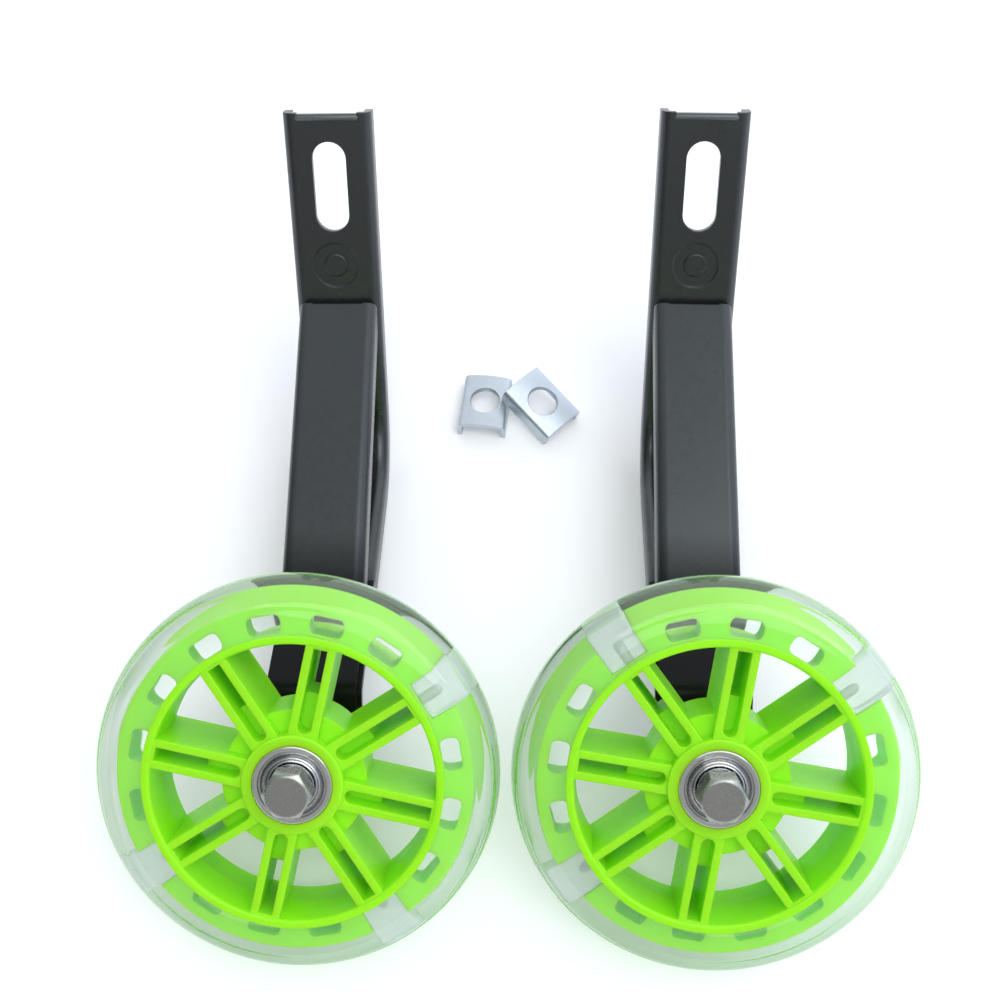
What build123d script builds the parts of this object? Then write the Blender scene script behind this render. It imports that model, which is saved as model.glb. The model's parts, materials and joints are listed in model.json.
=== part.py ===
"""A pair of bicycle training wheels with their two loose axle clips, lying on a table."""

import os
from math import acos, asin, atan2, cos, hypot, pi, sin, tan

from build123d import *

os.makedirs("parts", exist_ok=True)

# Pair layout: gap between the tyres, how each stabiliser lies turned and how each wheel stands
wheel_gap = 2.9
arm_turns = {"left": 0.6, "right": -1.4}
wheel_turns = {"left": 212.0, "right": 37.0}

# Rim barrel and the flange that keys it into the tyre
tyre_radius = 56.0
tyre_height = 15.0
barrel_wall = 2.2
barrel_draft = 0.7
rim_width = 22.0
rim_edge_round = 0.8
flange_height = 7.0
flange_width = 10.0
position_count = 16
window_length = 9.2
window_height = 4.2
window_round = 1.6
window_inset = 0.4

# Spokes: two ribs with a web between them near the hub and a slot near the rim
spoke_count = 8
rib_thickness = 2.2
rib_gap = 3.8
rib_width = 21.0
web_width = 10.0
web_length = 10.0
spoke_root = 0.5

# Hub sleeve, its bearing seats and the skirt round it
hub_width = 23.0
hub_wall = 2.9
skirt_reach = 5.9
skirt_width = 15.0
shoulder_height = 1.6
hub_edge_round = 0.6

# Light modules in the flange: a clear block round a domed lamp
led_positions = (0.0, 90.0, 180.0)
led_block_length = 11.4
led_block_reach = 10.4
led_block_width = 9.0
led_lamp_radius = 1.5
led_lamp_length = 4.4
led_pocket_gap = 0.1

# Ball bearings, 22 mm outside and 8 mm inside
bearing_radius = 11.0
bearing_bore = 4.0
bearing_width = 7.0
outer_ring_wall = 1.7
inner_ring_wall = 2.0
bearing_edge = 0.35
ball_radius = 1.95
ball_count = 7
race_gap = 0.05
shield_thickness = 0.4
shield_recess = 0.25
shield_gap = 0.35

# Axle bolt with its nut, washer and sleeve
bolt_gap = 0.05
head_flats = 12.0
head_height = 6.3
head_collar_radius = 5.4
head_collar_height = 2.2
head_chamfer_height = 0.9
nut_flats = 13.0
nut_height = 6.5
nut_chamfer_height = 0.8
washer_radius = 7.2
washer_thickness = 1.8
washer_split = 1.2
thread_beyond_nut = 1.7
sleeve_length = 12.0
sleeve_wall = 2.0
spacer_wall = 1.9

# Pressed steel of the bracket
sheet = 2.5
fold_round = 3.4
fold_inner_round = 0.9
bracket_width = 28.7
bracket_fold = 8.3
strut_width = 26.1
strut_fold = 9.0

# Side view of the bracket: height up the arm from the axle, and depth towards the bicycle
plate_lean = 17.5
plate_length = 119.5
elbow_height = 76.3
elbow_depth = 114.0
elbow_radius = 21.0
leg_fold_end = 0.42
strut_seat_length = 58.0
strut_stand_off = 2.9
strut_knee_height = 30.3
strut_knee_depth = 39.2
strut_knee_radius = 9.0
tab_knee_height = 17.0
tab_knee_radius = 6.5
strut_fold_end = 0.09
tab_clearance = 0.3
bolt_hole_gap = 0.2

# Slot for the bicycle's axle and the peg below it
slot_width = 11.0
slot_length = 29.0
slot_to_top = 23.5
ear_width = 4.6
ear_height = 0.4
peg_below_slot = 26.0
peg_radius = 3.9
peg_length = 6.0
peg_edge = 0.25
peg_shank_radius = 3.0
peg_dish_radius = 7.5
peg_dish_depth = 0.5

# Loose clips that go between the slot and the axle nut
clip_length = 23.2
clip_width = 17.6
clip_sheet = 1.6
clip_fold = 6.4
clip_fold_round = 1.9
clip_hole = 5.3
lower_clip_place = (-10.3, 78.7)
lower_clip_turn = -6.0
upper_clip_turn = 45.5
clip_overlap = 0.6
clip_slip = 1.0
clip_rest_gap = 0.3

# Sizes that follow from the ones above
axle_spacing = 2 * tyre_radius + wheel_gap
barrel_radius = tyre_radius - tyre_height
flange_radius = barrel_radius + flange_height
rim_half = rim_width / 2
hub_half = hub_width / 2
tyre_crown = (rim_half**2 + (tyre_radius - barrel_radius) ** 2) / (2 * (tyre_radius - barrel_radius))
tyre_section_place = tyre_radius - tyre_crown
hub_radius = bearing_radius + hub_wall
window_place = barrel_radius + window_inset + window_height / 2
led_floor = barrel_radius + window_inset
spoke_width = 2 * rib_thickness + rib_gap
spoke_end = barrel_radius - barrel_wall / 2
rib_slot_end = barrel_radius - barrel_wall - barrel_draft
web_end = hub_radius + spoke_root + web_length
ball_place = (bearing_bore + inner_ring_wall + bearing_radius - outer_ring_wall) / 2
bearing_place = hub_half - bearing_width / 2
inner_ring_radius = bearing_bore + inner_ring_wall
outer_ring_bore = bearing_radius - outer_ring_wall
bolt_radius = bearing_bore - bolt_gap
strut_tab_depth = hub_half + sleeve_length
bracket_tab_depth = strut_tab_depth + sheet
washer_depth = bracket_tab_depth + sheet
nut_depth = washer_depth + washer_thickness
bolt_end_depth = nut_depth + nut_height + thread_beyond_nut


# Side view points, as height and outward distance, of the two bent strips
lean = plate_lean * pi / 180
along_plate = (cos(lean), sin(lean))
off_plate = (-sin(lean), cos(lean))
elbow = (elbow_height, -elbow_depth)
plate_top = (elbow[0] + plate_length * along_plate[0], elbow[1] + plate_length * along_plate[1])
strut_top = (
    elbow[0] + strut_seat_length * along_plate[0] + strut_stand_off * off_plate[0],
    elbow[1] + strut_seat_length * along_plate[1] + strut_stand_off * off_plate[1],
)
strut_knee = (strut_knee_height, -strut_knee_depth)
strut_rise = (strut_top[0] - strut_knee[0], strut_top[1] - strut_knee[1])
along_strut = (strut_rise[0] / hypot(*strut_rise), strut_rise[1] / hypot(*strut_rise))
strut_tab_knee = (tab_knee_height, -strut_tab_depth)
strut_tab_turn = atan2(strut_knee_depth - strut_tab_depth, strut_knee_height - tab_knee_height)
bracket_tab_knee = (
    tab_knee_height - sheet * tan(strut_tab_turn / 2) - tab_clearance,
    -bracket_tab_depth,
)


def between(start, end, share):
    """The point at a share of the way from start to end."""
    return (start[0] + share * (end[0] - start[0]), start[1] + share * (end[1] - start[1]))


# The arm lies on the outside of its elbow and on the tyre, so the table touches both round forms
to_plate = (plate_top[0] - elbow[0], plate_top[1] - elbow[1])
to_tab = (bracket_tab_knee[0] - elbow[0], bracket_tab_knee[1] - elbow[1])
plate_heading = atan2(to_plate[1], to_plate[0])
leg_heading = atan2(to_tab[1], to_tab[0])
elbow_half_angle = (leg_heading - plate_heading) / 2
elbow_bisector = (leg_heading + plate_heading) / 2
elbow_reach = elbow_radius / sin(elbow_half_angle)
elbow_centre = (
    elbow[0] + elbow_reach * cos(elbow_bisector),
    elbow[1] + elbow_reach * sin(elbow_bisector),
)
elbow_outside = elbow_radius + bracket_fold
rest_run = (elbow_centre[0] + tyre_section_place, elbow_centre[1])
rest_angle = atan2(rest_run[1], rest_run[0]) - acos((tyre_crown - elbow_outside) / hypot(*rest_run))
tilt = atan2(-cos(rest_angle), -sin(rest_angle))
axle_height = tyre_section_place * sin(tilt) + tyre_crown

# Centre the pair on the origin: the tyre is foremost, the folded edge of the plate's top rearmost
front_reach = -tyre_section_place * cos(tilt) - tyre_crown
rear_corner = (
    plate_top[0] - bracket_fold * off_plate[0],
    plate_top[1] - bracket_fold * off_plate[1],
)
rear_run = rear_corner[0] * cos(tilt) - rear_corner[1] * sin(tilt)
headings = {side: turn * pi / 180 for side, turn in arm_turns.items()}
rear_reach = max(rear_run * cos(turn) + bracket_width / 2 * abs(sin(turn)) for turn in headings.values())
axle_place = -(front_reach + rear_reach) / 2


def axle_plane(side):
    """Plane of one wheel: its origin is the wheel's middle, its normal points outwards."""
    x = axle_spacing / 2 if side == "right" else -axle_spacing / 2
    heading = headings[side]
    return Plane(
        origin=(x, axle_place, axle_height),
        x_dir=(cos(heading), sin(heading), 0),
        z_dir=(sin(heading) * sin(tilt), -cos(heading) * sin(tilt), cos(tilt)),
    )


def axis_of(plane):
    """The axle's line through a wheel's plane."""
    return Axis(plane.origin, plane.z_dir)


def turned(plane, angle):
    """The same plane with its first direction turned about its normal."""
    turn = angle * pi / 180
    x_dir = plane.x_dir * cos(turn) + plane.y_dir * sin(turn)
    return Plane(origin=plane.origin, x_dir=x_dir, z_dir=plane.z_dir)


def meridian(plane):
    """Half section of a round piece: first coordinate off the axle, second along it."""
    return Plane(origin=plane.origin, x_dir=plane.x_dir, z_dir=-plane.y_dir)


def side_view(plane):
    """Side view of an arm: first coordinate up the arm, second outwards along the axle."""
    return Plane(origin=plane.origin, x_dir=plane.y_dir, z_dir=plane.x_dir)


def strip_plane(plane, place, along):
    """Front face of a straight strip at a side-view point, its second direction up the strip."""
    normal = plane.z_dir * along[0] - plane.y_dir * along[1]
    origin = side_view(plane).from_local_coords(Vector(*place))
    return Plane(origin=origin, x_dir=plane.x_dir, z_dir=normal)


def plate_plane(plane):
    """Front face of the slotted plate, with its origin at the middle of the slot."""
    place = between(plate_top, elbow, slot_to_top / plate_length)
    return strip_plane(plane, place, along_plate)


def save(part, name):
    """Label a finished piece and write it."""
    part.label = name
    export_step(part, f"parts/{name}.step")


def make_ring(plane, inner, outer, low, high):
    """A plain ring or sleeve on the axle between two places along it."""
    with BuildPart() as ring:
        with BuildSketch(plane.offset(low)):
            Circle(outer)
            Circle(inner, mode=Mode.SUBTRACT)
        extrude(amount=high - low)
    return ring.part


def window_angles():
    """Where the flange's windows are: evenly spaced, but not where a light module sits."""
    angles = [position * 360 / position_count for position in range(position_count)]
    reach = (led_block_length + window_length) / 2 / barrel_radius * 180 / pi
    turns = (-360, 0, 360)
    taken = [led + turn for led in led_positions for turn in turns]
    return [angle for angle in angles if all(abs(angle - led) > reach for led in taken)]


def make_flange(wheel):
    """The rim's keyed flange: windows all round, open notches where the light modules sit."""
    with BuildPart() as flange:
        with BuildSketch(wheel):
            Circle(flange_radius)
            Circle(barrel_radius, mode=Mode.SUBTRACT)
            for angle in window_angles():
                with PolarLocations(window_place, 1, start_angle=angle):
                    RectangleRounded(window_height, window_length, window_round, mode=Mode.SUBTRACT)
            for angle in led_positions:
                with PolarLocations(led_floor + flange_radius / 2, 1, start_angle=angle):
                    Rectangle(flange_radius, led_block_length, mode=Mode.SUBTRACT)
        extrude(amount=flange_width / 2, both=True)
    return flange.part


def make_hub(wheel):
    """The moulded wheel: barrel and flange, double-ribbed spokes, skirt and hub sleeve."""
    mouth = barrel_radius - barrel_wall
    shoulder = bearing_radius - shoulder_height
    seat_end = hub_half - bearing_width
    inside_sleeve = bearing_radius + hub_wall / 2
    groove_start = hub_radius + spoke_root
    groove_length = rib_slot_end - groove_start
    flange = make_flange(wheel)
    with BuildPart() as hub:
        with BuildSketch(meridian(wheel)) as barrel:
            with BuildLine():
                Polyline(
                    (mouth, rim_half),
                    (barrel_radius, rim_half),
                    (barrel_radius, -rim_half),
                    (mouth, -rim_half),
                    (mouth - barrel_draft, 0),
                    close=True,
                )
            make_face()
            inner_corners = barrel.vertices().group_by(Axis.X)[1]
            fillet(inner_corners, rim_edge_round)
        revolve(axis=axis_of(wheel))
        with BuildSketch(meridian(wheel)) as sleeve:
            with BuildLine():
                Polyline(
                    (bearing_radius, hub_half),
                    (hub_radius, hub_half),
                    (hub_radius, -hub_half),
                    (bearing_radius, -hub_half),
                    (bearing_radius, -seat_end),
                    (shoulder, -seat_end),
                    (shoulder, seat_end),
                    (bearing_radius, seat_end),
                    close=True,
                )
            make_face()
            fillet(sleeve.vertices().group_by(Axis.X)[-1], hub_edge_round)
        revolve(axis=axis_of(wheel))
        with BuildSketch(wheel):
            Circle(hub_radius + skirt_reach)
            Circle(inside_sleeve, mode=Mode.SUBTRACT)
        extrude(amount=skirt_width / 2, both=True)
        with BuildSketch(wheel):
            with PolarLocations((inside_sleeve + spoke_end) / 2, spoke_count):
                Rectangle(spoke_end - inside_sleeve, spoke_width)
        extrude(amount=rib_width / 2, both=True)
        for face in (rib_width / 2, -rib_width / 2):
            with BuildSketch(wheel.offset(face)):
                with PolarLocations(groove_start + groove_length / 2, spoke_count):
                    SlotOverall(groove_length, rib_gap)
            extrude(amount=(rib_width - web_width) / 2, both=True, mode=Mode.SUBTRACT)
        with BuildSketch(wheel):
            with PolarLocations((web_end + rib_slot_end) / 2, spoke_count):
                Rectangle(rib_slot_end - web_end, rib_gap)
        extrude(amount=rib_width / 2, both=True, mode=Mode.SUBTRACT)
        add(flange)
    return hub.part


def led_plane(wheel, angle):
    """Plane square to a spoke line, with its origin on the notch's floor and its normal outwards."""
    spoke = turned(wheel, angle)
    return Plane(
        origin=spoke.from_local_coords(Vector(led_floor, 0, 0)),
        x_dir=spoke.y_dir,
        z_dir=spoke.x_dir,
    )


def make_led_housings(wheel):
    """Clear blocks in the flange's notches, each with a pocket open towards the hub."""
    with BuildPart() as housings:
        for angle in led_positions:
            floor = led_plane(wheel, angle)
            with BuildSketch(floor):
                Rectangle(led_block_length, led_block_width)
            extrude(amount=led_block_reach)
            with BuildSketch(floor):
                Circle(led_lamp_radius + led_pocket_gap)
            extrude(amount=led_lamp_length + led_pocket_gap, mode=Mode.SUBTRACT)
    return housings.part


def make_led_lamps(wheel):
    """Domed lamps, one in each housing's pocket."""
    with BuildPart() as lamps:
        for angle in led_positions:
            floor = led_plane(wheel, angle)
            section = Plane(origin=floor.origin, x_dir=floor.x_dir, z_dir=-floor.y_dir)
            shoulder = led_lamp_length - led_lamp_radius
            with BuildSketch(section):
                with BuildLine():
                    Polyline((0, led_lamp_length), (0, 0), (led_lamp_radius, 0), (led_lamp_radius, shoulder))
                    RadiusArc((led_lamp_radius, shoulder), (0, led_lamp_length), -led_lamp_radius)
                make_face()
            revolve(axis=Axis(floor.origin, floor.z_dir))
    return lamps.part


def make_tyre(wheel):
    """The clear tyre, moulded on the barrel, through the windows and round the light modules."""
    flange = make_flange(wheel)
    with BuildPart() as tyre:
        with BuildSketch(meridian(wheel)):
            with BuildLine():
                ThreePointArc((barrel_radius, -rim_half), (tyre_radius, 0), (barrel_radius, rim_half))
                Line((barrel_radius, rim_half), (barrel_radius, -rim_half))
            make_face()
        revolve(axis=axis_of(wheel))
        add(flange, mode=Mode.SUBTRACT)
        for angle in led_positions:
            with BuildSketch(led_plane(wheel, angle)):
                Rectangle(led_block_length, led_block_width)
            extrude(amount=led_block_reach, mode=Mode.SUBTRACT)
    return tyre.part


def make_bearing_ring(middle, low, high, chamfered):
    """One bearing ring with its ball groove and its two outer corners broken."""
    with BuildPart() as ring:
        with BuildSketch(meridian(middle)) as section:
            with Locations(((low + high) / 2, 0)):
                Rectangle(high - low, bearing_width)
            corners = section.vertices().filter_by(lambda v: abs(v.X - chamfered) < bearing_edge)
            chamfer(corners, bearing_edge)
            with Locations((ball_place, 0)):
                Circle(ball_radius + race_gap, mode=Mode.SUBTRACT)
        revolve(axis=axis_of(middle))
    return ring.part


def make_shields(middle):
    """The two thin shields that close a bearing."""
    inner = inner_ring_radius + shield_gap
    high = bearing_width / 2 - shield_recess
    with BuildPart() as shields:
        for face in (high - shield_thickness, -high):
            with BuildSketch(middle.offset(face)):
                Circle(outer_ring_bore)
                Circle(inner, mode=Mode.SUBTRACT)
            extrude(amount=shield_thickness)
    return shields.part


def make_balls(middle):
    """The balls of one bearing."""
    with BuildPart(middle) as balls:
        with PolarLocations(ball_place, ball_count):
            Sphere(ball_radius)
    return balls.part


def make_hexagon(plane, flats, height, bevel):
    """A hexagon block rising from a plane, its far corners broken to a round."""
    with BuildPart() as block:
        with BuildSketch(plane):
            RegularPolygon(flats / 2, 6, major_radius=False)
        extrude(amount=height)
        corner = flats / 2 / cos(pi / 6)
        with BuildSketch(meridian(plane)):
            with BuildLine():
                Polyline(
                    (0, 0),
                    (corner, 0),
                    (corner, height - bevel),
                    (flats / 2 - bevel / 2, height),
                    (0, height),
                    close=True,
                )
            make_face()
        revolve(axis=axis_of(plane), mode=Mode.INTERSECT)
    return block.part


def make_bolt(base):
    """The axle bolt, its head on the outer bearing and its end past the nut."""
    seat = base.offset(hub_half)
    head = make_hexagon(seat.offset(head_collar_height), head_flats, head_height, head_chamfer_height)
    with BuildPart() as bolt:
        add(head)
        with BuildSketch(seat):
            Circle(head_collar_radius)
        extrude(amount=head_collar_height)
        with BuildSketch(seat):
            Circle(bolt_radius)
        extrude(amount=-(hub_half + bolt_end_depth))
        chamfer(bolt.faces().sort_by(axis_of(base))[0].edges(), bolt_radius / 6)
    return bolt.part


def make_nut(base):
    """The nut on the bolt's inner end."""
    seat = base.offset(-nut_depth)
    inward = Plane(origin=seat.origin, x_dir=seat.x_dir, z_dir=-seat.z_dir)
    block = make_hexagon(inward, nut_flats, nut_height, nut_chamfer_height)
    with BuildPart() as nut:
        add(block)
        with BuildSketch(inward):
            Circle(bearing_bore)
        extrude(amount=nut_height, mode=Mode.SUBTRACT)
    return nut.part


def make_washer(base):
    """The split spring washer under the nut."""
    with BuildPart() as washer:
        with BuildSketch(base.offset(-nut_depth)):
            Circle(washer_radius)
            Circle(bearing_bore + bolt_hole_gap, mode=Mode.SUBTRACT)
            with Locations((washer_radius / 2, 0)):
                Rectangle(washer_radius, washer_split, mode=Mode.SUBTRACT)
        extrude(amount=washer_thickness)
    return washer.part


def make_channel(base, points, radii, width, fold):
    """A pressed channel along a side-view path, its folded edges pointing at the bicycle."""
    with BuildPart() as channel:
        with BuildLine(side_view(base)) as path:
            if radii:
                FilletPolyline(*points, radius=radii)
            else:
                Line(*points)
        with BuildSketch(Plane(path.line @ 0, x_dir=base.x_dir, z_dir=path.line % 0)) as section:
            with Locations((0, -fold / 2)):
                Rectangle(width, fold)
            fillet(section.vertices().group_by(Axis.Y)[-1], fold_round)
            with BuildSketch(mode=Mode.PRIVATE) as inside:
                with Locations((0, -(fold + sheet) / 2)):
                    Rectangle(width - 2 * sheet, fold - sheet)
                fillet(inside.vertices().group_by(Axis.Y)[-1], fold_inner_round)
            add(inside.sketch, mode=Mode.SUBTRACT)
        sweep(path=path.line)
    return channel.part


def make_tab(base, points, radii, width):
    """The flat end of a strip: bent sheet along a side-view path to a round end at the axle."""
    with BuildPart() as tab:
        with BuildLine(side_view(base)) as path:
            FilletPolyline(*points, radius=radii)
        with BuildSketch(Plane(path.line @ 0, x_dir=base.x_dir, z_dir=path.line % 0)):
            with Locations((0, -sheet / 2)):
                Rectangle(width, sheet)
        sweep(path=path.line)
        face = base.offset(points[-1][1])
        with BuildSketch(face):
            Circle(width / 2)
        extrude(amount=-sheet)
        with BuildSketch(face):
            Circle(bearing_bore + bolt_hole_gap)
        extrude(amount=-sheet, mode=Mode.SUBTRACT)
    return tab.part


def make_bracket(base):
    """The slotted strip: plate, rounded elbow and leg back to the axle."""
    fold_end = between(bracket_tab_knee, elbow, leg_fold_end)
    axle_end = (0, -bracket_tab_depth)
    slot = plate_plane(base)
    channel_path = (plate_top, elbow, fold_end)
    channel = make_channel(base, channel_path, elbow_radius, bracket_width, bracket_fold)
    tab_path = (fold_end, bracket_tab_knee, axle_end)
    tab = make_tab(base, tab_path, tab_knee_radius - sheet, bracket_width)
    with BuildPart() as bracket:
        add(channel)
        add(tab)
        with BuildSketch(slot):
            SlotOverall(slot_length, slot_width, rotation=90)
            with Locations((0, slot_to_top)):
                Rectangle(bracket_width - 2 * ear_width, 2 * ear_height)
            with Locations((0, -peg_below_slot)):
                Circle(peg_shank_radius)
        extrude(amount=-sheet, mode=Mode.SUBTRACT)
        with BuildSketch(slot):
            with Locations((0, -peg_below_slot)):
                Circle(peg_dish_radius)
        extrude(amount=-peg_dish_depth, mode=Mode.SUBTRACT)
    return bracket.part


def make_strut(base, bracket):
    """The front strut: a channel from the plate down to the axle, seated on the plate's face."""
    fold_end = between(strut_knee, strut_top, strut_fold_end)
    channel = make_channel(base, (strut_top, fold_end), None, strut_width, strut_fold)
    tab_path = (fold_end, strut_knee, strut_tab_knee, (0, -strut_tab_depth))
    tab = make_tab(base, tab_path, (strut_knee_radius, tab_knee_radius), strut_width)
    with BuildPart() as strut:
        add(channel)
        add(tab)
        add(bracket, mode=Mode.SUBTRACT)
        with BuildSketch(plate_plane(base)):
            Rectangle(bracket_width - 2 * sheet, 2 * plate_length)
        extrude(amount=-(strut_fold + sheet), mode=Mode.SUBTRACT)
        with BuildSketch(strip_plane(base, strut_top, along_strut)):
            Rectangle(strut_width - 2 * ear_width, 2 * ear_height)
        extrude(amount=-sheet, mode=Mode.SUBTRACT)
    return strut.part


def make_peg(base):
    """The peg below the slot, headed over in its dish and standing out towards the bicycle."""
    face = plate_plane(base)
    middle = face.from_local_coords(Vector(0, -peg_below_slot, 0))
    section = Plane(origin=middle, x_dir=face.x_dir, z_dir=-face.y_dir)
    end = sheet + peg_length
    with BuildPart() as peg:
        with BuildSketch(section):
            with BuildLine():
                Polyline(
                    (0, 0),
                    (peg_radius - peg_edge, 0),
                    (peg_radius, -peg_edge),
                    (peg_radius, -peg_dish_depth),
                    (peg_shank_radius, -peg_dish_depth),
                    (peg_shank_radius, -sheet),
                    (peg_radius, -sheet),
                    (peg_radius, peg_edge - end),
                    (peg_radius - peg_edge, -end),
                    (0, -end),
                    close=True,
                )
            make_face()
        revolve(axis=Axis(middle, face.z_dir))
    return peg.part


def make_clip(top):
    """A folded clip below the plane of its flat top, with the axle's hole through it."""
    length_plane = Plane(origin=top.origin, x_dir=top.x_dir, z_dir=-top.y_dir)
    with BuildPart() as clip:
        with BuildSketch(length_plane) as section:
            with Locations((0, -clip_fold / 2)):
                Rectangle(clip_width, clip_fold)
            fillet(section.vertices().group_by(Axis.Y)[-1], clip_fold_round)
            with Locations((0, -(clip_fold + clip_sheet) / 2)):
                Rectangle(clip_width - 2 * clip_sheet, clip_fold - clip_sheet, mode=Mode.SUBTRACT)
        extrude(amount=clip_length / 2, both=True)
        with BuildSketch(top):
            Circle(clip_hole)
        extrude(amount=-clip_sheet, mode=Mode.SUBTRACT)
    return clip.part


def make_wheel(side, base):
    """Everything that turns on one axle."""
    wheel = turned(base, wheel_turns[side])
    save(make_hub(wheel), f"{side}_hub")
    save(make_tyre(wheel), f"{side}_tyre")
    save(make_led_housings(wheel), f"{side}_led_housings")
    save(make_led_lamps(wheel), f"{side}_led_lamps")
    for end, place in (("front", bearing_place), ("rear", -bearing_place)):
        middle = wheel.offset(place)
        outer = make_bearing_ring(middle, outer_ring_bore, bearing_radius, bearing_radius)
        save(outer, f"{side}_{end}_bearing_outer_ring")
        save(make_shields(middle), f"{side}_{end}_bearing_shields")
        save(make_balls(middle), f"{side}_{end}_bearing_balls")


def make_arm(side, base):
    """Everything that stays still on one bracket."""
    bracket = make_bracket(base)
    save(bracket, f"{side}_slotted_bracket")
    save(make_strut(base, bracket), f"{side}_strut")
    save(make_peg(base), f"{side}_locating_peg")
    save(make_bolt(base), f"{side}_axle_bolt")
    save(make_nut(base), f"{side}_axle_nut")
    save(make_washer(base), f"{side}_spring_washer")
    for end, place in (("front", bearing_place), ("rear", -bearing_place)):
        ring = make_bearing_ring(base.offset(place), bearing_bore, inner_ring_radius, bearing_bore)
        save(ring, f"{side}_{end}_bearing_inner_ring")
    spacer_half = hub_half - bearing_width
    spacer = make_ring(base, bearing_bore, bearing_bore + spacer_wall, -spacer_half, spacer_half)
    save(spacer, f"{side}_magnet_spacer")
    sleeve = make_ring(base, bearing_bore, bearing_bore + sleeve_wall, -strut_tab_depth, -hub_half)
    save(sleeve, f"{side}_axle_sleeve")


# Build the two stabilisers side by side
for side in ("left", "right"):
    axle = axle_plane(side)
    make_wheel(side, axle)
    make_arm(side, axle)

# Lay the two clips on the table, one with an end raised on the other's edge
lower_top = turned(Plane(origin=(*lower_clip_place, clip_fold)), lower_clip_turn)
save(make_clip(lower_top), "lower_axle_clip")
rest_height = clip_fold + clip_rest_gap
clip_tilt = asin(rest_height / (clip_length - clip_overlap))
flat = turned(Plane.XY, upper_clip_turn)
raised = Plane(
    origin=(0, 0, 0),
    x_dir=flat.x_dir,
    z_dir=flat.z_dir * cos(clip_tilt) - flat.y_dir * sin(clip_tilt),
)
fold_foot = Vector((clip_sheet - clip_width) / 2, clip_length / 2 - clip_overlap, -clip_fold)
rest_place = lower_top.from_local_coords(Vector(clip_width / 2 - clip_fold_round, clip_slip, clip_rest_gap))
upper_top = Plane(
    origin=rest_place - raised.from_local_coords(fold_foot),
    x_dir=raised.x_dir,
    z_dir=raised.z_dir,
)
save(make_clip(upper_top), "upper_axle_clip")
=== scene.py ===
import json
import math

import bmesh
import bpy
from mathutils import Matrix, Vector


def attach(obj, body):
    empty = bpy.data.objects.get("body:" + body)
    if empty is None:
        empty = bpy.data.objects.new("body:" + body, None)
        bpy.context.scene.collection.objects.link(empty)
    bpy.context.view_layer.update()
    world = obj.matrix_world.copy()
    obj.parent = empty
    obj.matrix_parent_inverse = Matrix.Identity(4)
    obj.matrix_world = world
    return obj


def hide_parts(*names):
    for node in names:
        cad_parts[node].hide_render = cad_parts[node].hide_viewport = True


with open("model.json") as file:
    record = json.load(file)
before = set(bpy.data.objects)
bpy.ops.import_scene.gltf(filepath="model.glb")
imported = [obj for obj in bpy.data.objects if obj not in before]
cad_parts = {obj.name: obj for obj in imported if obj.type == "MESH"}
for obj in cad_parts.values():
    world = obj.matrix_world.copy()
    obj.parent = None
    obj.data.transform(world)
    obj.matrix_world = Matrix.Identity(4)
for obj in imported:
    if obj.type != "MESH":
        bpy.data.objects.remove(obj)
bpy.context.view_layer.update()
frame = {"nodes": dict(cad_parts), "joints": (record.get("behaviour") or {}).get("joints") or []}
nodes = frame["nodes"]
MM = 0.001
sides = ("left", "right")
stations = ("front", "rear")


def placing(origin, *axes):
    return Matrix.Translation(origin) @ Matrix(axes).transposed().to_4x4()


def add_object(name, data):
    thing = bpy.data.objects.new(name, data)
    bpy.context.scene.collection.objects.link(thing)
    return thing


# Wheel frames: the axle's place and direction on each side
def wheel_frame(side):
    joint = next(j for j in frame["joints"] if j["child"] == f"{side}_wheel")
    origin = Vector(joint["pos_m"])
    axis = Vector(joint["axis"]).normalized()
    across = Vector((-axis.y, axis.x, 0)).normalized()
    upward = axis.cross(across)
    return origin, axis, across, upward


wheels = {side: wheel_frame(side) for side in sides}


def wheel_matrix(side):
    origin, axis, across, upward = wheels[side]
    return placing(origin, across, upward, axis)


# Shader steps, each returning the socket that carries its result
mix_factor, mix_first, mix_second, mix_result = 0, 6, 7, 2
bevel_samples = 4


def object_coordinates(tree):
    return tree.nodes.new("ShaderNodeTexCoord").outputs["Object"]


def coordinate(tree, vector, axis):
    node = tree.nodes.new("ShaderNodeSeparateXYZ")
    tree.links.new(vector, node.inputs["Vector"])
    return node.outputs[axis]


def noise(tree, vector, scale, detail=3.0, roughness=0.5):
    node = tree.nodes.new("ShaderNodeTexNoise")
    node.inputs["Scale"].default_value = scale
    node.inputs["Detail"].default_value = detail
    node.inputs["Roughness"].default_value = roughness
    tree.links.new(vector, node.inputs["Vector"])
    return node.outputs["Fac"]


def remap(tree, value, given, wanted):
    node = tree.nodes.new("ShaderNodeMapRange")
    node.inputs["From Min"].default_value, node.inputs["From Max"].default_value = given
    node.inputs["To Min"].default_value, node.inputs["To Max"].default_value = wanted
    tree.links.new(value, node.inputs["Value"])
    return node.outputs["Result"]


def blend_colour(tree, factor, first, second):
    node = tree.nodes.new("ShaderNodeMix")
    node.data_type = "RGBA"
    node.inputs[mix_first].default_value = (*first, 1)
    node.inputs[mix_second].default_value = (*second, 1)
    tree.links.new(factor, node.inputs[mix_factor])
    return node.outputs[mix_result]


def number_step(tree, operation, first, second):
    node = tree.nodes.new("ShaderNodeMath")
    node.operation = operation
    tree.links.new(first, node.inputs[0])
    tree.links.new(second, node.inputs[1])
    return node.outputs["Value"]


def vector_step(tree, operation, first, second):
    node = tree.nodes.new("ShaderNodeVectorMath")
    node.operation = operation
    tree.links.new(first, node.inputs[0])
    if isinstance(second, Vector):
        node.inputs[1].default_value = second
    else:
        tree.links.new(second, node.inputs[1])
    return node.outputs["Value" if operation in ("DOT_PRODUCT", "DISTANCE") else "Vector"]


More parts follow.
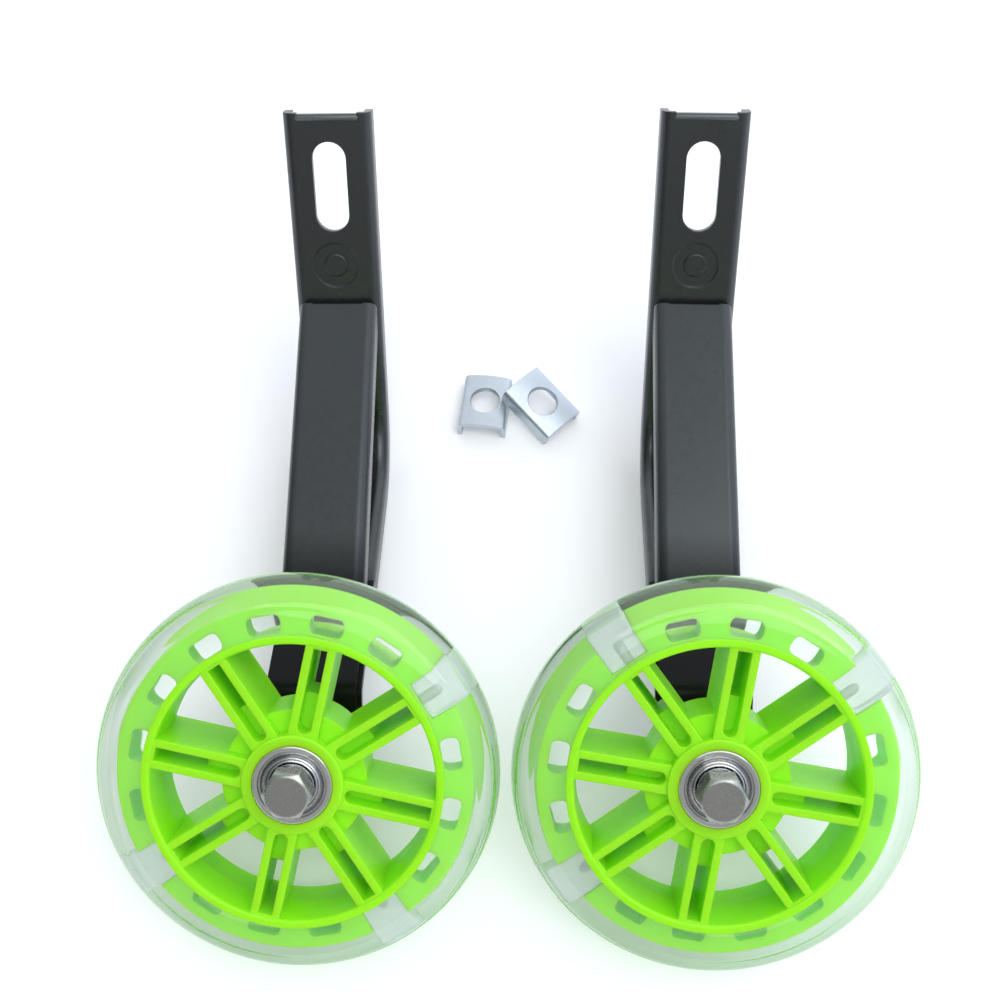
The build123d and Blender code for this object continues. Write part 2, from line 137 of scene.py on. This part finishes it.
def scale_vector(tree, vector, factor):
    node = tree.nodes.new("ShaderNodeVectorMath")
    node.operation = "SCALE"
    node.inputs[0].default_value = vector
    tree.links.new(factor, node.inputs["Scale"])
    return node.outputs["Vector"]


def rounded_edges(tree, radius):
    node = tree.nodes.new("ShaderNodeBevel")
    node.samples = bevel_samples
    node.inputs["Radius"].default_value = radius
    return node.outputs["Normal"]


def axle_radius(tree, side):
    origin, axis, _, _ = wheels[side]
    offset = vector_step(tree, "SUBTRACT", object_coordinates(tree), origin)
    along = vector_step(tree, "DOT_PRODUCT", offset, axis)
    return vector_step(tree, "DISTANCE", offset, scale_vector(tree, axis, along))


def turned_rings(tree, side, scale, detail=2.0):
    node = tree.nodes.new("ShaderNodeTexNoise")
    node.noise_dimensions = "1D"
    node.inputs["Scale"].default_value = scale
    node.inputs["Detail"].default_value = detail
    tree.links.new(axle_radius(tree, side), node.inputs["W"])
    return node.outputs["Fac"]


def any_ray(tree, *kinds):
    path = tree.nodes.new("ShaderNodeLightPath")
    found = path.outputs[kinds[0]]
    for kind in kinds[1:]:
        found = number_step(tree, "MAXIMUM", found, path.outputs[kind])
    return found


def mix_shaders(tree, factor, first, second, output):
    both = tree.nodes.new("ShaderNodeMixShader")
    tree.links.new(factor, both.inputs["Fac"])
    tree.links.new(first.outputs[0], both.inputs[1])
    tree.links.new(second.outputs[0], both.inputs[2])
    tree.links.new(both.outputs["Shader"], output.inputs["Surface"])


# Parts of a material: fixed values, colour, roughness and fine relief
noise_spread = (0.3, 0.7)


def new_material(name):
    material = bpy.data.materials.new(name)
    material.use_nodes = True
    tree = material.node_tree
    shader = tree.nodes["Principled BSDF"]
    return material, tree, shader


def settle(shader, **values):
    for key, value in values.items():
        shader.inputs[key.replace("_", " ")].default_value = value


def colour_by(tree, shader, factor, tints):
    tree.links.new(blend_colour(tree, factor, *tints), shader.inputs["Base Color"])


def roughen_by(tree, shader, factor, levels):
    tree.links.new(remap(tree, factor, noise_spread, levels), shader.inputs["Roughness"])


def emboss(tree, shader, height, depth, strength, edge=None):
    node = tree.nodes.new("ShaderNodeBump")
    node.inputs["Distance"].default_value = depth
    node.inputs["Strength"].default_value = strength
    tree.links.new(height, node.inputs["Height"])
    if edge is not None:
        tree.links.new(rounded_edges(tree, edge), node.inputs["Normal"])
    tree.links.new(node.outputs["Normal"], shader.inputs["Normal"])


# Lime green plastic, which light enters a little
def make_green():
    material, tree, shader = new_material("lime_green_plastic")
    settle(shader, IOR=1.46, Specular_IOR_Level=0.3)
    settle(shader, Subsurface_Weight=0.75, Subsurface_Scale=6.0 * MM, Subsurface_Radius=(0.3, 1.0, 0.06))
    place = object_coordinates(tree)
    tints = ((0.305, 0.82, 0.008), (0.35, 0.865, 0.014))
    colour_by(tree, shader, noise(tree, place, scale=60.0, detail=4.0), tints)
    roughen_by(tree, shader, noise(tree, place, scale=300.0), (0.34, 0.48))
    grain = noise(tree, place, scale=1800.0, detail=2.0)
    emboss(tree, shader, grain, depth=0.03 * MM, strength=0.35, edge=0.6 * MM)
    return material


# Black enamel with painted shade: its sheen falls towards the axles, where the wheels shade the struts; the
# stretch along the set and the sheen at its ends
painted_shade_stretch = (-16.0 * MM, 2.0 * MM)
painted_shade_levels = (0.12, 0.86)


def make_black(name, tints):
    material, tree, shader = new_material(name)
    settle(shader, IOR=1.5, Specular_Tint=(0.90, 0.98, 1.0, 1.0))
    place = object_coordinates(tree)
    colour_by(tree, shader, noise(tree, place, scale=45.0, detail=4.0), tints)
    # Painted shade: the specular level drops along Y towards the axles, darkening the struts behind the
    # wheels
    painted_shade_sheen = remap(tree, coordinate(tree, place, "Y"), painted_shade_stretch, painted_shade_levels)
    tree.links.new(painted_shade_sheen, shader.inputs["Specular IOR Level"])
    roughen_by(tree, shader, noise(tree, place, scale=420.0, detail=4.0), (0.27, 0.34))
    peel = noise(tree, place, scale=900.0, roughness=0.55)
    emboss(tree, shader, peel, depth=0.04 * MM, strength=0.4, edge=0.6 * MM)
    return material


# Metals: zinc plate, steel turned round the axle, and the magnet's ferrite
def make_zinc():
    material, tree, shader = new_material("zinc_plate")
    settle(shader, Metallic=1.0)
    place = object_coordinates(tree)
    tints = ((0.49, 0.545, 0.59), (0.60, 0.65, 0.695))
    colour_by(tree, shader, noise(tree, place, scale=220.0, detail=5.0), tints)
    roughen_by(tree, shader, noise(tree, place, scale=700.0, detail=4.0), (0.34, 0.48))
    grain = noise(tree, place, scale=2600.0)
    emboss(tree, shader, grain, depth=0.03 * MM, strength=0.4, edge=0.3 * MM)
    return material


def make_turned(name, side, tints, roughness, edge):
    material, tree, shader = new_material(f"{side}_{name}")
    settle(shader, Metallic=1.0)
    rings = turned_rings(tree, side, scale=3500.0)
    colour_by(tree, shader, rings, tints)
    speckle = noise(tree, object_coordinates(tree), scale=900.0, detail=4.0)
    roughen_by(tree, shader, speckle, roughness)
    emboss(tree, shader, rings, depth=0.03 * MM, strength=0.3, edge=edge)
    return material


def make_magnet():
    material, tree, shader = new_material("ferrite")
    settle(shader, Roughness=0.7)
    speckle = noise(tree, object_coordinates(tree), scale=1500.0, detail=4.0)
    colour_by(tree, shader, speckle, ((0.03, 0.03, 0.03), (0.07, 0.07, 0.07)))
    return material


# Clear plastics, which let shadow and scattered light straight through in a pale shade
def make_clear(name, tints, ior, clarity, roughness, waviness, shade):
    material, tree, shader = new_material(name)
    settle(shader, Transmission_Weight=clarity, IOR=ior)
    place = object_coordinates(tree)
    colour_by(tree, shader, noise(tree, place, scale=120.0, detail=4.0), tints)
    roughen_by(tree, shader, noise(tree, place, scale=400.0), roughness)
    waves = noise(tree, place, scale=260.0, detail=2.0)
    emboss(tree, shader, waves, depth=0.1 * MM, strength=waviness)
    through = tree.nodes.new("ShaderNodeBsdfTransparent")
    through.inputs["Color"].default_value = (*shade, 1)
    passing = any_ray(tree, "Is Shadow Ray", "Is Diffuse Ray")
    mix_shaders(tree, passing, shader, through, tree.nodes["Material Output"])
    return material


def make_lamp():
    material, tree, shader = new_material("lamp_resin")
    settle(shader, Transmission_Weight=0.35, IOR=1.45, Roughness=0.3)
    cloud = noise(tree, object_coordinates(tree), scale=500.0)
    colour_by(tree, shader, cloud, ((0.38, 0.46, 0.40), (0.52, 0.58, 0.52)))
    return material


enamel_tints = ((0.0062, 0.0060, 0.0060), (0.0085, 0.0082, 0.0082))
# Lighter enamel for the rolled lips: a painted highlight standing in for the light band along the plates'
# top edges
lip_highlight_tints = ((0.055, 0.061, 0.060), (0.080, 0.088, 0.086))
bearing_tints = ((0.50, 0.51, 0.51), (0.64, 0.645, 0.64))
bolt_tints = ((0.34, 0.345, 0.325), (0.40, 0.405, 0.38))
green = make_green()
black = make_black("black_enamel", enamel_tints)
painted_highlight_black = make_black("lip_painted_highlight_enamel", lip_highlight_tints)
zinc = make_zinc()
magnet = make_magnet()
clear_tyre = make_clear(
    "clear_tyre",
    tints=((0.91, 0.975, 0.93), (0.95, 0.985, 0.96)),
    ior=1.44,
    clarity=0.93,
    roughness=(0.03, 0.10),
    waviness=0.25,
    shade=(0.91, 0.935, 0.92),
)
clear_block = make_clear(
    "clear_block",
    tints=((0.80, 0.84, 0.83), (0.88, 0.91, 0.90)),
    ior=1.12,
    clarity=0.62,
    roughness=(0.08, 0.16),
    waviness=0.04,
    shade=(0.85, 0.88, 0.87),
)
lamp = make_lamp()
bearing = {}
bolt = {}
for side in sides:
    bearing[side] = make_turned("bearing_steel", side, bearing_tints, roughness=(0.1, 0.2), edge=0.5 * MM)
    bolt[side] = make_turned("bright_steel", side, bolt_tints, roughness=(0.2, 0.3), edge=0.7 * MM)


def dress(name, material):
    mesh = nodes[name].data
    if not mesh.materials:
        mesh.materials.append(material)
    for index in range(len(mesh.materials)):
        mesh.materials[index] = material


for side in sides:
    for name in ("slotted_bracket", "strut", "locating_peg"):
        dress(f"{side}_{name}", black)
    for name in ("axle_nut", "spring_washer", "axle_sleeve"):
        dress(f"{side}_{name}", zinc)
    for station in stations:
        for name in ("outer_ring", "inner_ring", "shields", "balls"):
            dress(f"{side}_{station}_bearing_{name}", bearing[side])
    dress(f"{side}_axle_bolt", bolt[side])
    dress(f"{side}_magnet_spacer", magnet)
    dress(f"{side}_hub", green)
    dress(f"{side}_tyre", clear_tyre)
    dress(f"{side}_led_housings", clear_block)
    dress(f"{side}_led_lamps", lamp)
for clip in ("lower_axle_clip", "upper_axle_clip"):
    dress(clip, zinc)


# Meshes: closed shapes as points and faces, and the pieces made of them
crease_angle = math.radians(40)
bevel_segments = 3


def make_mesh(name, points, faces):
    mesh = bpy.data.meshes.new(name)
    mesh.from_pydata(points, [], faces)
    shape = bmesh.new()
    shape.from_mesh(mesh)
    bmesh.ops.recalc_face_normals(shape, faces=shape.faces)
    shape.to_mesh(mesh)
    shape.free()
    return mesh


def make_piece(name, points, faces, material, body):
    mesh = make_mesh(name, points, faces)
    mesh.polygons.foreach_set("use_smooth", [True] * len(mesh.polygons))
    mesh.materials.append(material)
    mesh.set_sharp_from_angle(angle=crease_angle)
    piece = add_object(name, mesh)
    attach(piece, body)
    return piece


def revolve(profile, matrix, steps):
    points = []
    faces = []
    count = len(profile)
    for step in range(steps):
        angle = 2 * math.pi * step / steps
        for radius, height in profile:
            points.append(matrix @ Vector((radius * math.cos(angle), radius * math.sin(angle), height)))
    for step in range(steps):
        near = step * count
        far = (step + 1) % steps * count
        for index in range(count):
            after = (index + 1) % count
            faces.append((near + index, far + index, far + after, near + after))
    return points, faces


def gather(solids):
    points = []
    faces = []
    for more_points, more_faces in solids:
        start = len(points)
        points.extend(more_points)
        faces.extend(tuple(start + index for index in face) for face in more_faces)
    return points, faces


def stack(rings):
    count = len(rings[0])
    points = [point for ring in rings for point in ring]
    faces = [tuple(range(count)), tuple(range(len(points) - count, len(points)))]
    for level in range(len(rings) - 1):
        near = level * count
        far = near + count
        for index in range(count):
            after = (index + 1) % count
            faces.append((near + index, near + after, far + after, far + index))
    return points, faces


def circle(radius, height, matrix, steps):
    angles = [2 * math.pi * step / steps for step in range(steps)]
    return [matrix @ Vector((radius * math.cos(a), radius * math.sin(a), height)) for a in angles]


def cut(blank, cutter):
    solids = []
    for name, (points, faces) in (("blank", blank), ("cutter", cutter)):
        solids.append(add_object(name, make_mesh(name, points, faces)))
    step = solids[0].modifiers.new("hole", "BOOLEAN")
    step.operation = "DIFFERENCE"
    step.solver = "EXACT"
    step.object = solids[1]
    made = solids[0].evaluated_get(bpy.context.evaluated_depsgraph_get()).data
    points = [vertex.co.copy() for vertex in made.vertices]
    faces = [tuple(polygon.vertices) for polygon in made.polygons]
    for solid in solids:
        bpy.data.objects.remove(solid)
    return points, faces


def soft_block(half_sizes, bevel, matrix):
    shape = bmesh.new()
    bmesh.ops.create_cube(shape, size=2.0)
    bmesh.ops.scale(shape, vec=half_sizes, verts=shape.verts)
    edges = shape.edges[:]
    bmesh.ops.bevel(shape, geom=edges, offset=bevel, segments=bevel_segments, profile=0.5, affect="EDGES")
    shape.verts.index_update()
    points = [matrix @ vertex.co for vertex in shape.verts]
    faces = [tuple(vertex.index for vertex in face.verts) for face in shape.faces]
    shape.free()
    return points, faces


# Clear tyres: a crowned ring with two fine moulding steps on each shoulder
tyre_radius = 56.0 * MM
tyre_root = 41.0 * MM
tyre_half = 11.0 * MM
root_overlap = 0.9 * MM
root_inset = 0.25 * MM
crown_steps = 72
tyre_turns = 192
moulding_steps = (0.30, 0.62)
step_depth = 0.22 * MM
step_width = 0.035


def arc_through(half, root, top):
    rise = top - root
    radius = (half * half + rise * rise) / (2 * rise)
    return top - radius, radius


def crown_profile():
    centre, radius = arc_through(tyre_half, tyre_root, tyre_radius)
    reach = math.atan2(tyre_half, tyre_root - centre)
    seat = tyre_root - root_overlap
    shoulder = tyre_half - root_inset
    profile = [(seat, shoulder), (seat, -shoulder)]
    for index in range(crown_steps + 1):
        place = 2 * index / crown_steps - 1
        dips = sum(math.exp(-(((abs(place) - at) / step_width) ** 2)) for at in moulding_steps)
        size = radius - step_depth * dips
        angle = place * reach
        profile.append((centre + size * math.cos(angle), size * math.sin(angle)))
    return profile


for side in sides:
    points, faces = revolve(crown_profile(), wheel_matrix(side), tyre_turns)
    tyre = make_piece(f"{side}_clear_tyre", points, faces, clear_tyre, f"{side}_wheel")
    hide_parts(f"{side}_tyre")


# Bearing shields: a pressed ring on each face with a rolled rim, a flat and a turned lip
bearing_places = {"front": 8.0 * MM, "rear": -8.0 * MM}
shield_rim = [(9.3, 2.86), (9.3, 3.05), (9.2, 3.22), (9.0, 3.25), (8.75, 3.2), (8.6, 3.0), (8.4, 2.92)]
shield_lip = [(7.1, 2.92), (6.9, 2.98), (6.7, 3.12), (6.5, 3.14), (6.37, 3.05), (6.37, 2.86)]
shield_turns = 96


def make_shield(side, station):
    middle = bearing_places[station]
    rings = []
    for face in (1, -1):
        line = [(radius * MM, middle + face * height * MM) for radius, height in shield_rim + shield_lip]
        rings.append(revolve(line, wheel_matrix(side), shield_turns))
    points, faces = gather(rings)
    name = f"{side}_{station}_pressed_shields"
    shield = make_piece(name, points, faces, bearing[side], f"{side}_wheel")
    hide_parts(f"{side}_{station}_bearing_shields")


for side in sides:
    for station in stations:
        make_shield(side, station)


# Light housings: clear blocks with softened edges in the flange's notches, turns in degrees
housing_turns = {"left": 212, "right": 37}
housing_places = (0, 90, 180)
housing_floor = 41.48 * MM
housing_top = 51.7 * MM
housing_half_length = 5.62 * MM
housing_half_width = 4.42 * MM
housing_bevel = 0.6 * MM


def make_housings(side):
    middle = (housing_floor + housing_top) / 2
    half_sizes = ((housing_top - housing_floor) / 2, housing_half_length, housing_half_width)
    blocks = []
    for place in housing_places:
        turn = Matrix.Rotation(math.radians(housing_turns[side] + place), 4, "Z")
        matrix = wheel_matrix(side) @ turn @ Matrix.Translation((middle, 0, 0))
        blocks.append(soft_block(half_sizes, housing_bevel, matrix))
    points, faces = gather(blocks)
    name = f"{side}_clear_housings"
    housings = make_piece(name, points, faces, clear_block, f"{side}_wheel")
    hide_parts(f"{side}_led_housings")


for side in sides:
    make_housings(side)


# Loose clips: an arched web between two folded feet, with a countersunk rim round the hole
clip_half_width = 8.8 * MM
clip_half_length = 11.6 * MM
clip_sheet = 1.6 * MM
clip_fold = 6.4 * MM
clip_fold_round = 1.9 * MM
clip_hole = 5.3 * MM
clip_rim = 0.55 * MM
web_radius = 40.0 * MM
web_rise = 0.3 * MM
web_steps = 24
fold_steps = 8
hole_steps = 72

# Top of each clip's web: place, direction and turn in degrees
clip_tops = {
    "lower_axle_clip": (Vector((-10.3, 78.7, 6.4)) * MM, Vector((0, 0, 1)), -6.0),
    "upper_axle_clip": (Vector((11.120, 75.986, 9.551)) * MM, Vector((0.21145, -0.207792, 0.955045)), 45.5),
}


def clip_matrix(name):
    origin, normal, turn = clip_tops[name]
    across = Vector((math.cos(math.radians(turn)), math.sin(math.radians(turn)), 0))
    along = normal.cross(across)
    return placing(origin, across, along, normal)


def clip_line(inset):
    reach = math.asin((clip_half_width - clip_fold_round) / (web_radius - clip_fold_round))
    centre = web_rise - web_radius
    line = []
    for index in range(web_steps // 2 + 1):
        angle = reach * 2 * index / web_steps
        size = web_radius - inset
        line.append((size * math.sin(angle), centre + size * math.cos(angle)))
    size = web_radius - clip_fold_round
    pivot = (size * math.sin(reach), centre + size * math.cos(reach))
    for index in range(1, fold_steps + 1):
        angle = reach + (math.pi / 2 - reach) * index / fold_steps
        size = clip_fold_round - inset
        line.append((pivot[0] + size * math.sin(angle), pivot[1] + size * math.cos(angle)))
    line.append((clip_half_width - inset, -clip_fold))
    return [(-x, z) for x, z in reversed(line[1:])] + line


def make_clip(name):
    matrix = clip_matrix(name)
    section = clip_line(0) + list(reversed(clip_line(clip_sheet)))
    ends = [[matrix @ Vector((x, y, z)) for x, z in section] for y in (-clip_half_length, clip_half_length)]
    wide = clip_hole + clip_rim
    levels = ((clip_hole, -clip_fold), (clip_hole, -clip_rim), (wide, web_rise), (wide, clip_fold))
    drill = [circle(radius, height, matrix, hole_steps) for radius, height in levels]
    points, faces = cut(stack(ends), stack(drill))
    clip = make_piece(f"{name}_arched", points, faces, zinc, "brackets")
    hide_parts(name)


for name in clip_tops:
    make_clip(name)


# Rolled lips along the top edges of the slotted plates
plate_rise = 23.5 * MM
lip_half_length = 9.3 * MM
lip_radius = 1.05 * MM
lip_stand = 0.5 * MM
lip_drop = 1.5 * MM
lip_end_steps = 6
lip_turns = 24

# Middle of each slot and the direction its plate faces
slot_frames = {
    "left": (Vector((-59.371, 104.975, 86.457)) * MM, Vector((0.008942, -0.853867, 0.520414))),
    "right": (Vector((61.933, 104.931, 86.457)) * MM, Vector((-0.020863, -0.853659, 0.520414))),
}


def make_lip(side):
    origin, outward = slot_frames[side]
    across = Vector((-outward.y, outward.x, 0)).normalized()
    upward = outward.cross(across)
    offsets = [vertex.co - origin for vertex in nodes[f"{side}_slotted_bracket"].data.vertices]
    face = max(offset.dot(outward) for offset in offsets if offset.dot(upward) > plate_rise / 2)
    middle = origin + upward * (plate_rise - lip_drop) + outward * (face + lip_stand - lip_radius)
    matrix = placing(middle, outward, upward, across)
    swell = [math.sin(math.pi / 2 * (index + 0.5) / lip_end_steps) for index in range(lip_end_steps)]
    reach = [math.sqrt(1 - size * size) * lip_radius for size in swell]
    ends = list(zip(swell, reach))
    places = [(size, -lip_half_length - step) for size, step in ends]
    places += [(size, lip_half_length + step) for size, step in reversed(ends)]
    rings = [circle(lip_radius * size, place, matrix, lip_turns) for size, place in places]
    points, faces = stack(rings)
    # The lips take the lighter enamel, a painted highlight along the plates' top edges
    make_piece(f"{side}_rolled_lip", points, faces, painted_highlight_black, "brackets")


for side in sides:
    make_lip(side)


# White table, which glows more with distance in what is seen or mirrored
table_reach = 6.0
table_level = -0.2 * MM
table_colour = (0.925, 0.925, 0.94, 1)
glow_distances = (0.4, 1.6)
glow_levels = (0.1, 0.9)


def make_floor():
    material = bpy.data.materials.new("white_table")
    material.use_nodes = True
    tree = material.node_tree
    tree.nodes.clear()
    output = tree.nodes.new("ShaderNodeOutputMaterial")
    table = tree.nodes.new("ShaderNodeBsdfDiffuse")
    table.inputs["Color"].default_value = table_colour
    glow = tree.nodes.new("ShaderNodeEmission")
    seen = any_ray(tree, "Is Camera Ray", "Is Glossy Ray", "Is Transmission Ray")
    distance = vector_step(tree, "DISTANCE", object_coordinates(tree), Vector((0, 0, 0)))
    level = number_step(tree, "MULTIPLY", seen, remap(tree, distance, glow_distances, glow_levels))
    tree.links.new(level, glow.inputs["Strength"])
    both = tree.nodes.new("ShaderNodeAddShader")
    tree.links.new(table.outputs["BSDF"], both.inputs[0])
    tree.links.new(glow.outputs["Emission"], both.inputs[1])
    tree.links.new(both.outputs["Shader"], output.inputs["Surface"])
    mesh = bpy.data.meshes.new("table")
    spread = ((-1, -1), (1, -1), (1, 1), (-1, 1))
    corners = [(x * table_reach, y * table_reach, table_level) for x, y in spread]
    mesh.from_pydata(corners, [], [(0, 1, 2, 3)])
    mesh.materials.append(material)
    floor = add_object("table", mesh)


# Sky: brighter with height, with soft zones given by direction, rim and light
sky_heights = (0.0, 0.9)
sky_horizon = (0.11, 0.105, 0.105)
sky_zenith = (0.50, 0.54, 0.56)
sky_zones = (
    ((0.0, -1.0, 0.10), 0.70, (0.26, 0.24, 0.23)),
    ((0.0, 0.95, 0.30), 0.30, (0.90, 0.93, 0.98)),
    ((0.95, 0.0, 0.30), 0.40, (0.85, 0.92, 1.15)),
)


def soft_zone(tree, heading, direction, rim, level):
    closeness = vector_step(tree, "DOT_PRODUCT", heading, Vector(direction).normalized())
    return scale_vector(tree, level, remap(tree, closeness, (rim, 1.0), (0.0, 1.0)))


def make_world():
    world = bpy.data.worlds.new("studio")
    bpy.context.scene.world = world
    world.use_nodes = True
    tree = world.node_tree
    tree.nodes.clear()
    output = tree.nodes.new("ShaderNodeOutputWorld")
    sky = tree.nodes.new("ShaderNodeBackground")
    white = tree.nodes.new("ShaderNodeBackground")
    white.inputs["Color"].default_value = (1, 1, 1, 1)
    heading = tree.nodes.new("ShaderNodeTexCoord").outputs["Generated"]
    height = remap(tree, coordinate(tree, heading, "Z"), sky_heights, (0.0, 1.0))
    light = blend_colour(tree, height, sky_horizon, sky_zenith)
    for direction, rim, level in sky_zones:
        light = vector_step(tree, "ADD", light, soft_zone(tree, heading, direction, rim, level))
    tree.links.new(light, sky.inputs["Color"])
    mix_shaders(tree, any_ray(tree, "Is Camera Ray"), sky, white, output)


# Overhead lamp
overhead_place = Vector((0.3, -0.5, 1.5))
overhead_target = Vector((0.0, 0.0, 0.03))
overhead_size = (1.6, 1.2)
overhead_power = 13.6


def make_overhead():
    data = bpy.data.lights.new("overhead", "AREA")
    data.shape = "RECTANGLE"
    data.size, data.size_y = overhead_size
    data.energy = overhead_power
    light = add_object("overhead", data)
    light.location = overhead_place
    light.rotation_mode = "QUATERNION"
    light.rotation_quaternion = (overhead_target - overhead_place).to_track_quat("-Z", "Y")


# Camera: the photograph's view
camera_place = Vector((5.713, -203.437, 368.086)) * MM
camera_right = Vector((0.99973822, 0.01628443, -0.01607205))
camera_back = Vector((0.02237785, -0.54957354, 0.83514559))
camera_sensor = 36.0
camera_lens = 44.448
camera_range = (0.01, 50.0)


def make_camera():
    right = camera_right.normalized()
    back = camera_back.normalized()
    up = back.cross(right).normalized()
    data = bpy.data.cameras.new("photo_view")
    data.sensor_width = camera_sensor
    data.lens = camera_lens
    data.clip_start, data.clip_end = camera_range
    camera = add_object("photo_view", data)
    camera.matrix_world = placing(camera_place, right, up, back)
    bpy.context.scene.camera = camera


make_floor()
make_world()
make_overhead()
make_camera()
bpy.context.scene.view_settings.view_transform = "Standard"
